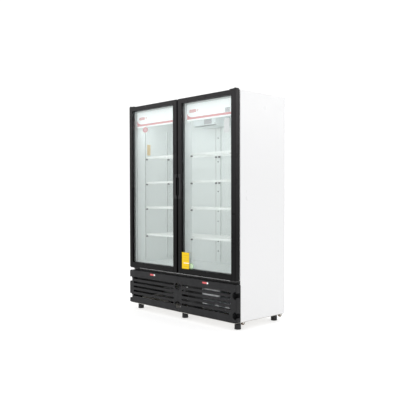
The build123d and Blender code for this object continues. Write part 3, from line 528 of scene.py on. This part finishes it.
def lathe(bm, matrix, profile, segments=24, closed=False, shape=None):
    """Add a turned form about local Z: (radius, height) points, and a shape(angle, index) factor."""
    rings = []
    for index, (radius, height) in enumerate(profile):
        if radius == 0:
            rings.append([bm.verts.new(matrix @ Vector((0, 0, height)))] * segments)
            continue
        ring = []
        for step in range(segments):
            angle = 2 * math.pi * step / segments
            reach = radius * (shape(angle, index) if shape else 1.0)
            point = Vector((reach * math.cos(angle), reach * math.sin(angle), height))
            ring.append(bm.verts.new(matrix @ point))
        rings.append(ring)
    pairs = list(zip(rings, rings[1:]))
    if closed:
        pairs.append((rings[-1], rings[0]))
    for lower, upper in pairs:
        for step in range(segments):
            after = (step + 1) % segments
            corners = []
            for vertex in (lower[step], lower[after], upper[after], upper[step]):
                if vertex not in corners:
                    corners.append(vertex)
            if len(corners) > 2:
                bm.faces.new(corners)


def wire_ring(bm, matrix, radius, wire):
    """Add a round wire bent into a ring."""
    angles = [math.radians(45 * step) for step in range(8)]
    section = [(radius + wire * math.cos(a), wire * math.sin(a)) for a in angles]
    lathe(bm, matrix, section, 48, closed=True)


def wire_bar(bm, start, end, wire):
    """Add a straight round wire with softened ends."""
    run = Vector(end) - Vector(start)
    length = run.length
    soft = wire * 0.4
    near = [(0, 0), (wire - soft, 0), (wire, soft)]
    far = [(wire, length - soft), (wire - soft, length), (0, length)]
    lathe(bm, facing(start, run.normalized()), near + far, 10)


def hexagonal(angle, index):
    """Shape that makes a lathe's first three rings six-sided."""
    if index > 2:
        return 1.0
    sector = math.radians(60)
    return math.cos(sector / 2) / math.cos(angle % sector - sector / 2)


def screw_head(bm, point, direction, radius):
    """Add a domed head with a hexagonal recess."""
    height = radius * 0.7
    recess = [(0, 0.3), (0.46, 0.3), (0.5, 0.78)]
    dome = [(0.62, 0.8), (0.86, 0.6), (1.0, 0.2), (1.0, 0.0), (0, 0)]
    profile = [(r * radius, h * height) for r, h in recess + dome]
    lathe(bm, facing(point, direction), profile, shape=hexagonal)


def strip(path, thickness):
    """Outline of a thin sheet along a path of points."""
    far = []
    for index, point in enumerate(path):
        before = Vector(path[max(index - 1, 0)])
        after = Vector(path[min(index + 1, len(path) - 1)])
        run = (after - before).normalized()
        far.append((point[0] - run.y * thickness, point[1] + run.x * thickness))
    return list(path) + far[::-1]


def piece(name, bm, body, material, crease=35.0):
    """Turn a bmesh into a piece that rides on a body, smooth but for edges over the crease angle."""
    bmesh.ops.recalc_face_normals(bm, faces=bm.faces)
    mesh = bpy.data.meshes.new(name)
    bm.to_mesh(mesh)
    bm.free()
    mesh.materials.append(material)
    mesh.shade_smooth()
    mesh.set_sharp_from_angle(angle=math.radians(crease))
    made = bpy.data.objects.new(name, mesh)
    bpy.context.scene.collection.objects.link(made)
    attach(made, body)
    return made


def bevelled(made, width, segments=3):
    """Round a piece's hard edges."""
    bevel = made.modifiers.new("edges", "BEVEL")
    bevel.width = width
    bevel.segments = segments
    bevel.limit_method = "ANGLE"
    bevel.angle_limit = math.radians(40)
    bevel.harden_normals = True
    return made


def softened(node, width, segments=2):
    """A copy of a CAD node with its sharp edges rounded, which stands for the node."""
    bm = bmesh.new()
    bm.from_mesh(NODES[node].data)
    bmesh.ops.remove_doubles(bm, verts=bm.verts, dist=1e-6)
    bmesh.ops.dissolve_limit(bm, angle_limit=math.radians(1.5), verts=bm.verts, edges=bm.edges)
    slot = NODE_SLOT[node]
    made = piece(f"{node}_finished", bm, NODES[node]["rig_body"], FINISH[slot])
    bevelled(made, width, segments)
    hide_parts(node)
    return made


# ---------------------------------------------------------------------------
# Doors
# ---------------------------------------------------------------------------


def door_edges(side):
    """Frame and grip with their extrusion and moulding radii."""
    softened(f"{side}_door_frame", 0.8 * MM)
    softened(f"{side}_door_grip", 1.2 * MM, 3)


def mitred_loop(bm, low, high, profile):
    """Add a closed section round a rectangle in XZ: profile points are (inset, y)."""
    rings = []
    for inset, y in profile:
        corners = (
            (low[0] + inset, low[1] + inset),
            (high[0] - inset, low[1] + inset),
            (high[0] - inset, high[1] - inset),
            (low[0] + inset, high[1] - inset),
        )
        rings.append([bm.verts.new((x, y, z)) for x, z in corners])
    for first, second in zip(rings, rings[1:] + rings[:1]):
        for index in range(4):
            after = (index + 1) % 4
            bm.faces.new((first[index], first[after], second[after], second[index]))


def gasket(side):
    """Seal with a flat foot, two pleats and a round magnet sleeve, mitred at the corners."""
    low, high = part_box(f"{side}_door_gasket")
    depth = high.y - low.y
    width = 25.0 * MM
    base, tip = low.y, high.y
    profile = [
        (0.0, base),
        (0.0, base + depth * 0.22),
        (width * 0.12, base + depth * 0.3),
        (width * 0.2, base + depth * 0.55),
        (width * 0.1, base + depth * 0.72),
        (width * 0.14, base + depth * 0.93),
        (width * 0.22, tip),
        (width * 0.66, tip),
        (width * 0.74, base + depth * 0.93),
        (width * 0.76, base + depth * 0.66),
        (width * 0.68, base + depth * 0.5),
        (width * 0.84, base + depth * 0.3),
        (width * 1.0, base + depth * 0.24),
        (width * 1.0, base),
    ]
    bm = bmesh.new()
    mitred_loop(bm, (low.x, low.z), (high.x, high.z), profile)
    made = piece(f"{side}_gasket_profile", bm, f"{side}_door", FINISH["gasket_rubber"], 50)
    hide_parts(f"{side}_door_gasket")


def glazing_bead(side):
    """Soft black bead that holds the glass against the frame, all round the opening."""
    low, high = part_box(f"{side}_door_glass")
    face = low.y
    width = 1.6 * MM
    profile = [
        (REBATE, face),
        (REBATE, face - 3.4 * MM),
        (REBATE + width * 0.35, face - 3.6 * MM),
        (REBATE + width * 0.8, face - 2.2 * MM),
        (REBATE + width, face - 0.05 * MM),
    ]
    bm = bmesh.new()
    mitred_loop(bm, (low.x, low.z), (high.x, high.z), profile)
    piece(f"{side}_glazing_bead", bm, f"{side}_door", BLACK_SEAL, 50)


def inner_bead(side):
    """Pale clip-on profile round the back of the opening, behind the glass."""
    low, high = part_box(f"{side}_door_glass")
    front, back = high.y + 0.15 * MM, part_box(f"{side}_door_frame")[1].y
    proud = 4.0 * MM
    profile = [
        (REBATE, front),
        (REBATE + proud * 0.8, front),
        (REBATE + proud, front + 1.5 * MM),
        (REBATE + proud, back - 1.5 * MM),
        (REBATE + proud * 0.8, back),
        (REBATE, back),
    ]
    bm = bmesh.new()
    mitred_loop(bm, (low.x, low.z), (high.x, high.z), profile)
    piece(f"{side}_inner_bead", bm, f"{side}_door", FINISH["frame_plastic"], 50)


def grip_tabs(side):
    """Small ribbed pads at the two ends of the grip's pocket."""
    low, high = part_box(f"{side}_door_grip")
    inset = 4.0 * MM
    tall = 16.0 * MM
    ribs = 4
    rib_height = 2.6 * MM
    bm = bmesh.new()
    for start in (low.z + inset, high.z - inset - tall):
        for rib in range(ribs):
            bottom = start + rib * tall / ribs
            outline = rounded((low.x + inset, bottom), (high.x - inset, bottom + rib_height), 1.2 * MM)
            prism(bm, outline, "Y", FRONT + 0.05 * MM, FRONT + 1.0 * MM)
    piece(f"{side}_grip_tabs", bm, f"{side}_door", FINISH["grip_plastic"])


# ---------------------------------------------------------------------------
# Labels, all without words or marks
# ---------------------------------------------------------------------------

GLASS_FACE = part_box("right_door_glass")[0].y
LINER_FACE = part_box("left_liner")[1].x


def patch(name, outline, axis, low, high, body, slot, material):
    """One thin printed shape."""
    bm = bmesh.new()
    prism(bm, outline, axis, low, high)
    return piece(name, bm, body, material)


def sticker_ring(name, centre, size, border, ink, field, body):
    """Oval sticker on the glass, with a coloured border round a pale field."""
    y = GLASS_FACE
    outer = oval(centre, *size)
    inner = oval(centre, size[0] - 2 * border, size[1] - 2 * border)
    bm = bmesh.new()
    ring_prism(bm, outer, inner, "Y", y - 2 * HAIR, y - HAIR)
    piece(f"{name}_border", bm, body, ink)
    patch(f"{name}_field", inner, "Y", y - 1.5 * HAIR, y - HAIR, body, "header_plastic", field)


def energy_card():
    """Card folded onto the handle stile's inner edge, standing free of the glass."""
    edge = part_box("right_door_glass")[0].x + REBATE
    bottom, top = 450.0 * MM, 593.0 * MM
    width, bow = 89.0 * MM, 3.0 * MM
    bend = 2.0 * MM
    front = FRONT + 1.3 * MM
    x = edge + 0.4 * MM
    path = [(x, FRONT + 12.0 * MM), (x, front + bend)]
    path += arc((x + bend, front + bend), (bend, bend), 180, 270, 5)[1:]
    for step in range(1, 9):
        along = step / 8
        path.append((x + bend + along * width, front + bow * along**2))
    thick = 0.35 * MM
    patch("energy_card", strip(path, thick), "Z", bottom, top, "right_door", "header_plastic", YELLOW_CARD)
    face = [(u, v - HAIR) for u, v in path[8:]]
    for name, low, high, ink in (
        ("energy_card_band", 498.0, 504.0, WHITE_INK),
        ("energy_card_rule_1", 566.0, 570.0, AMBER_INK),
        ("energy_card_rule_2", 545.0, 548.0, AMBER_INK),
        ("energy_card_rule_3", 524.0, 527.0, AMBER_INK),
        ("energy_card_rule_4", 470.0, 473.0, AMBER_INK),
    ):
        patch(name, strip(face, HAIR * 0.6), "Z", low * MM, high * MM, "right_door", "header_plastic", ink)


def labels():
    """Every label of the doors, liner and evaporator housing, placed in metres."""
    energy_card()
    for name, centre, size, border, ink, field, body in (
        ("green_sticker", (0.160, 0.478), (0.066, 0.052), 6, GREEN_INK, PALE_GREEN_INK, "right_door"),
        ("red_sticker", (-0.471, 1.698), (0.072, 0.05), 9, PALE_RED_INK, ROSE_INK, "left_door"),
    ):
        sticker_ring(name, centre, size, border * MM, ink, field, body)
    glass = (GLASS_FACE - 2 * HAIR, GLASS_FACE - HAIR)
    liner = (LINER_FACE, LINER_FACE + HAIR)
    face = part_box("evaporator_housing")[0].y
    housing = (face - HAIR, face)
    frost = rounded((0.559, 1.591), (0.621, 1.705), 6 * MM)
    patch("grey_decal", frost, "Y", *glass, "right_door", "header_plastic", GREY_INK)
    tag = rounded((-0.148, 1.476), (-0.091, 1.58), 3 * MM)
    patch("liner_label", tag, "X", *liner, "cabinet", "header_plastic", ORANGE_INK)
    plate = rounded((-0.007, 1.733), (0.092, 1.778), 3 * MM)
    patch("evaporator_label", plate, "Y", *housing, "cabinet", "evaporator_plastic", LILAC_INK)


# ---------------------------------------------------------------------------
# Headers and controller
# ---------------------------------------------------------------------------


def header_graphics(side):
    """Pale red band with a swept wedge at its left end, and a plain capsule and dot above it."""
    low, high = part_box(f"{side}_header")
    y = (low.y - HAIR, low.y)
    bottom = low.z + 13.0 * MM
    top = bottom + 18.0 * MM
    left = low.x + 3.0 * MM
    across, up = 64.0 * MM, 36.0 * MM
    outline = [(left, bottom), (high.x, bottom), (high.x, top)]
    for step in range(13):
        t = step / 12
        u = (1 - t) ** 2 * across + 2 * t * (1 - t) * across * 0.22
        v = 2 * t * (1 - t) * up * 0.16 + t**2 * up
        outline.append((left + u, top + v))
    patch(f"{side}_header_band", outline, "Y", *y, "cabinet", "header_plastic", BAND_INK)
    left += 26.0 * MM
    middle = low.z + 83.0 * MM
    capsule = rounded((left, middle - 14.0 * MM), (left + 92.0 * MM, middle + 14.0 * MM), 13.9 * MM, 10)
    patch(f"{side}_header_capsule", capsule, "Y", *y, "cabinet", "header_plastic", FADED_INK)
    dot = oval((left + 110.0 * MM, middle + 2.0 * MM), 14.0 * MM, 26.0 * MM)
    patch(f"{side}_header_dot", dot, "Y", *y, "cabinet", "header_plastic", FADED_INK)


def controller():
    """Bezel with a grey window and three keys."""
    softened("temperature_controller", 0.8 * MM, 3)
    low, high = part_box("temperature_controller")
    y = low.y - 0.4 * MM
    window = rounded((low.x + 5 * MM, low.z + 12 * MM), (high.x - 14 * MM, high.z - 5 * MM), 1.5 * MM)
    patch("controller_window", window, "Y", y, low.y + MM, "cabinet", "display_plastic", GREY_WINDOW)
    cap = [(r * MM, h * MM) for r, h in ((0, 1.2), (1.6, 1.15), (2.3, 0.7), (2.4, 0.0))]
    bm = bmesh.new()
    for x, z in (
        (high.x - 7 * MM, low.z + 22 * MM),
        (high.x - 7 * MM, low.z + 11 * MM),
        (low.x + 9 * MM, low.z + 6.5 * MM),
    ):
        lathe(bm, facing((x, low.y + 0.2 * MM, z), (0, -1, 0)), cap, 20)
    piece("controller_keys", bm, "cabinet", FINISH["display_plastic"])


# ---------------------------------------------------------------------------
# Grilles
# ---------------------------------------------------------------------------

SLOT_ENDS = (53.0 * MM, 644.0 * MM)
SLOT_CENTRE = 301.0 * MM
SLOT_PITCH = 41.0 * MM
SLOT_HEIGHT = 18.0 * MM
SLOTS = 5
# Bright straps on the condenser coil: left and right from its left end, height, width, all in mm
STRAPS = (
    (32, 212, 287, 13),
    (2, 212, 244, 18),
    (6, 58, 161, 9),
    (159, 203, 160, 9),
    (281, 326, 160, 9),
)


def grille_beads(side):
    """Fine rolled lips over and under every slot."""
    sign = 1 if side == "right" else -1
    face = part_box(f"{side}_grille")[0].y
    lip = 0.9 * MM
    bm = bmesh.new()
    for index in range(SLOTS):
        for offset in (-1, 1):
            z = SLOT_CENTRE - SLOT_PITCH * index + offset * (SLOT_HEIGHT / 2 + lip)
            ends = (SLOT_ENDS[0] + 4 * MM, SLOT_ENDS[1] - 4 * MM)
            wire_bar(bm, (sign * ends[0], face + 0.4 * MM, z), (sign * ends[1], face + 0.4 * MM, z), lip)
    piece(f"{side}_grille_lips", bm, "cabinet", FINISH["grille_plastic"])


def badge(side):
    """Plain capsule badge on the grille's upper band: red, with a pale end."""
    low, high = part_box(f"{side}_grille")
    centre = (low.x + high.x) / 2
    z = high.z - 19.0 * MM
    half, tall = 36.0 * MM, 7.5 * MM
    split = centre + 18.0 * MM
    y = (FRONT + 0.5 * MM, low.y + 0.05 * MM)
    red = arc((centre - half + tall, z), (tall, tall), 90, 270, 12) + [(split, z - tall), (split, z + tall)]
    pale = arc((centre + half - tall, z), (tall, tall), -90, 90, 12) + [(split, z + tall), (split, z - tall)]
    for name, outline, ink in (("badge", red, RED_INK), ("badge_end", pale, WHITE_INK)):
        made = patch(f"{side}_{name}", outline, "Y", *y, "cabinet", "grille_plastic", ink)
        bevelled(made, 0.4 * MM)


def condenser_ducting():
    """Black air guide beside the condenser coil, and bright straps across the coil's face."""
    low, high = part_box("condenser_coil")
    guide_width = 190 * MM
    bm = bmesh.new()
    guide = rounded((low.x - guide_width, low.z), (low.x, high.z), 2 * MM)
    prism(bm, guide, "Y", low.y, low.y + 1.2 * MM)
    piece("condenser_air_guide", bm, "cabinet", FINISH["hinge_black"])
    bm = bmesh.new()
    for left, right, z, tall in STRAPS:
        strap = rounded((low.x + left * MM, (z - tall / 2) * MM), (low.x + right * MM, (z + tall / 2) * MM), MM)
        prism(bm, strap, "Y", low.y - 2 * MM, low.y - 0.8 * MM)
        for inset in (left + 10, right - 10):
            x = low.x + inset * MM
            wire_bar(bm, (x, low.y - MM, z * MM), (x, low.y + 4 * MM, z * MM), 2 * MM)
    piece("condenser_straps", bm, "cabinet", BRIGHT_STEEL)


# ---------------------------------------------------------------------------
# Storage space
# ---------------------------------------------------------------------------


def fan_guards():
    """Wire guards over the evaporator's two fan openings."""
    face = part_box("evaporator_housing")[0].y
    wire = 1.1 * MM
    bm = bmesh.new()
    for side in SIDES:
        low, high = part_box(f"evaporator_fan_{side}")
        centre = (low + high) / 2
        y = face - wire
        for radius in (12.0, 19.0, 26.0, 33.0, 40.0):
            wire_ring(bm, facing((centre.x, y, centre.z), (0, -1, 0)), radius * MM, wire)
        for turn in (45, 135, 225, 315):
            way = Vector((math.cos(math.radians(turn)), 0, math.sin(math.radians(turn))))
            hub = Vector((centre.x, y - wire, centre.z))
            wire_bar(bm, hub + way * 10.0 * MM, hub + way * 43.0 * MM, wire)
    # the guards' paint glows too: painted light
    piece("evaporator_fan_guards", bm, "cabinet", FINISH["shelf_paint"])


def seams():
    """Grey lines down the wall posts and the edges of the rear centre strip: painted shade where those edges
    fall into shadow.
    """
    low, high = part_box("shelf_standards")
    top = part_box("evaporator_housing")[0].z - 6 * MM
    post_depth = 12.0 * MM
    strip_edge = 30.5 * MM
    strip_face = high.y - post_depth + HAIR
    posts = (FRONT + 146.5 * MM, FRONT + 422.5 * MM)
    bm = bmesh.new()
    for sign in (-1, 1):
        x = sign * strip_edge
        line = rounded((x - 1.5 * MM, low.z), (x + 1.5 * MM, top), 0.5 * MM)
        prism(bm, line, "Y", strip_face - HAIR, strip_face)
        for y in posts:
            line = rounded((y - 2 * MM, low.z), (y + 2 * MM, high.z), 0.5 * MM)
            inner = sign * (high.x - post_depth)
            prism(bm, line, "X", *sorted((inner, inner - sign * HAIR)))
    piece("liner_seams", bm, "cabinet", SEAM_SHADE)


def screws():
    """Heads on the rear panels, the roof hinges, the evaporator housing and the rear cover."""
    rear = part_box("rear_panel")
    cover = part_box("rear_service_cover")
    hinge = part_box("hinge_brackets")
    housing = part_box("evaporator_housing")
    margin = 14 * MM
    bm = bmesh.new()
    spots = []
    for index in range(7):
        x = rear[0].x + margin + (rear[1].x - rear[0].x - 2 * margin) * index / 6
        spots += [(x, rear[1].z - margin), (x, rear[0].z + 12 * MM), (x, cover[0].z + 12 * MM)]
    for index in range(1, 6):
        z = rear[0].z + (rear[1].z - rear[0].z) * index / 6
        spots += [(rear[0].x + 10 * MM, z), (rear[1].x - 10 * MM, z)]
    for x, z in spots:
        screw_head(bm, (x, rear[1].y, z), (0, 1, 0), 3.2 * MM)
    for side in (-1, 1):
        for y in (hinge[0].y + 72 * MM, hinge[0].y + 102 * MM):
            for x in (hinge[1].x - 60 * MM, hinge[1].x - 42 * MM):
                screw_head(bm, (side * x, y, hinge[1].z - 4.05 * MM), (0, 0, 1), 4.0 * MM)
    for x in (housing[0].x + 9 * MM, 0.0, housing[1].x - 9 * MM):
        screw_head(bm, (x, housing[0].y, housing[0].z + 20 * MM), (0, -1, 0), 3.0 * MM)
    piece("panel_screws", bm, "cabinet", FINISH["screw_steel"])


def rating_plate():
    """Blank plate on the rear panel."""
    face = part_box("rear_panel")[1].y
    thick = 0.5 * MM
    plate = rounded((-0.52, 1.62), (-0.41, 1.69), 3 * MM)
    bm = bmesh.new()
    prism(bm, plate, "Y", face, face + thick)
    for x in (-0.515, -0.415):
        screw_head(bm, (x, face + thick, 1.655), (0, 1, 0), 1.6 * MM)
    piece("rating_plate", bm, "cabinet", BRIGHT_STEEL)


# ---------------------------------------------------------------------------
# Feet
# ---------------------------------------------------------------------------


def foot(node):
    """Fluted moulded cup with a neck and a threaded stem, which stands for the CAD foot."""
    low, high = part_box(node)
    centre = (low + high) / 2
    radius = (high.x - low.x) / 2
    cup = 48.0 * MM
    neck = 19.0 * MM
    stem = 8.0 * MM
    seat = 59.5 * MM
    profile = [
        (0, 0.0),
        (radius - 6 * MM, 0.0),
        (radius - 2.2 * MM, 1.2 * MM),
        (radius, 5.0 * MM),
        (radius, 9.0 * MM),
        (radius - 1.0 * MM, 11.0 * MM),
        (radius - 1.0 * MM, cup - 10.0 * MM),
        (radius - 2.5 * MM, cup - 4.0 * MM),
        (radius - 7.0 * MM, cup),
        (neck, cup + 0.5 * MM),
        (neck, seat - 1.0 * MM),
        (neck - 1.0 * MM, seat),
        (stem, seat),
    ]
    turns = 22
    pitch = (high.z - low.z - seat) / turns
    for turn in range(turns):
        profile += [(stem - 0.9 * MM, seat + pitch * (turn + 0.5)), (stem, seat + pitch * (turn + 1.0))]
    profile.append((0, high.z - low.z))

    def fluted(angle, index):
        """Flutes on the two rings of the cup's wall."""
        return 1.0 - 0.03 * (0.5 + 0.5 * math.cos(16 * angle)) if index in (5, 6) else 1.0

    bm = bmesh.new()
    lathe(bm, Matrix.Translation((centre.x, centre.y, low.z)), profile, 64, shape=fluted)
    made = piece(f"{node}_finished", bm, NODES[node]["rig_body"], FINISH["foot_plastic"])
    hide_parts(node)


# ---------------------------------------------------------------------------
# Build every piece
# ---------------------------------------------------------------------------

for side in SIDES:
    door_edges(side)
    gasket(side)
    glazing_bead(side)
    inner_bead(side)
    grip_tabs(side)
    header_graphics(side)
    softened(f"{side}_grille", 0.9 * MM)
    grille_beads(side)
    badge(side)
condenser_ducting()
labels()
controller()
softened("evaporator_housing", 1.0 * MM)
fan_guards()
seams()
softened("hinge_brackets", 0.8 * MM)
screws()
rating_plate()
for row in ("front", "rear"):
    for spot in ("left", "centre", "right"):
        foot(f"{row}_{spot}_foot")


# ---------------------------------------------------------------------------
# Floor, light and camera
# ---------------------------------------------------------------------------


def studio_floor():
    """Wide plain floor that glows like a light table, with a faint, even texture."""
    bm = bmesh.new()
    bmesh.ops.create_grid(bm, x_segments=24, y_segments=24, size=30.0)
    mesh = bpy.data.meshes.new("studio_floor")
    bm.to_mesh(mesh)
    bm.free()
    grey = (0.5, 0.5, 0.5, 1.0)
    surface = Surface("studio_floor", grey, 0.9, Specular_IOR_Level=0.1, Emission_Strength=1.15)
    surface.tint(surface.spread(surface.noise(40.0, 4.0), 0.0, 0.01), (0.45, 0.45, 0.45, 1.0))
    surface.link(surface.colour, surface.shader.inputs["Emission Color"])
    mesh.materials.append(surface.material)
    floor = bpy.data.objects.new("studio_floor", mesh)
    bpy.context.scene.collection.objects.link(floor)


def area_light(name, place, target, size, watts, tone=(1.0, 1.0, 1.0)):
    data = bpy.data.lights.new(name, "AREA")
    data.shape = "RECTANGLE"
    data.size, data.size_y = size
    data.energy = watts
    data.color = tone
    light = bpy.data.objects.new(name, data)
    light.location = place
    light.rotation_euler = (Vector(target) - Vector(place)).to_track_quat("-Z", "Y").to_euler()
    bpy.context.scene.collection.objects.link(light)


def lights():
    """Even white surroundings, a large soft light overhead, and the cabinet's own lamps."""
    world = bpy.data.worlds.new("studio")
    world.use_nodes = True
    world.node_tree.nodes["Background"].inputs["Color"].default_value = (1.0, 1.0, 1.0, 1.0)
    world.node_tree.nodes["Background"].inputs["Strength"].default_value = 1.12
    bpy.context.scene.world = world
    area_light("overhead", (0.6, -0.4, 5.0), (0.3, -0.2, 0.0), (4.5, 4.5), 40.0)
    area_light("rear_right", (4.2, 4.2, 3.4), (0.7, 0.0, 1.4), (2.4, 2.4), 35.0)
    for side in SIDES:
        low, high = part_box(f"{side}_header")
        middle = (low.x + high.x) / 2
        place = (middle, high.y + 35 * MM, low.z - 2 * MM)
        target = (middle, high.y + 300 * MM, low.z - 0.5)
        size = (high.x - low.x - 180 * MM, 20 * MM)
        area_light(f"{side}_shelf_light", place, target, size, 0.4, (0.97, 0.99, 1.0))


def camera():
    """View from the front right at about waist height, fitted to the photograph's."""
    place = (3.915262, -3.695733, 1.081206)
    azimuth, pitch, roll = math.radians(46.160), math.radians(1.174), math.radians(-0.093)
    sweep = math.cos(pitch)
    forward = Vector((-math.sin(azimuth) * sweep, math.cos(azimuth) * sweep, -math.sin(pitch)))
    level = Vector((math.cos(azimuth), math.sin(azimuth), 0.0))
    upright = level.cross(forward)
    right = level * math.cos(roll) + upright * math.sin(roll)
    up = upright * math.cos(roll) - level * math.sin(roll)
    data = bpy.data.cameras.new("camera")
    data.lens = 51.12
    data.sensor_width = 36.0
    data.clip_end = 100.0
    view = bpy.data.objects.new("camera", data)
    rotation = Matrix((right, up, -forward)).transposed().to_4x4()
    view.matrix_world = Matrix.Translation(place) @ rotation
    bpy.context.scene.collection.objects.link(view)
    bpy.context.scene.camera = view


studio_floor()
lights()
camera()
bpy.context.scene.view_settings.view_transform = "Standard"
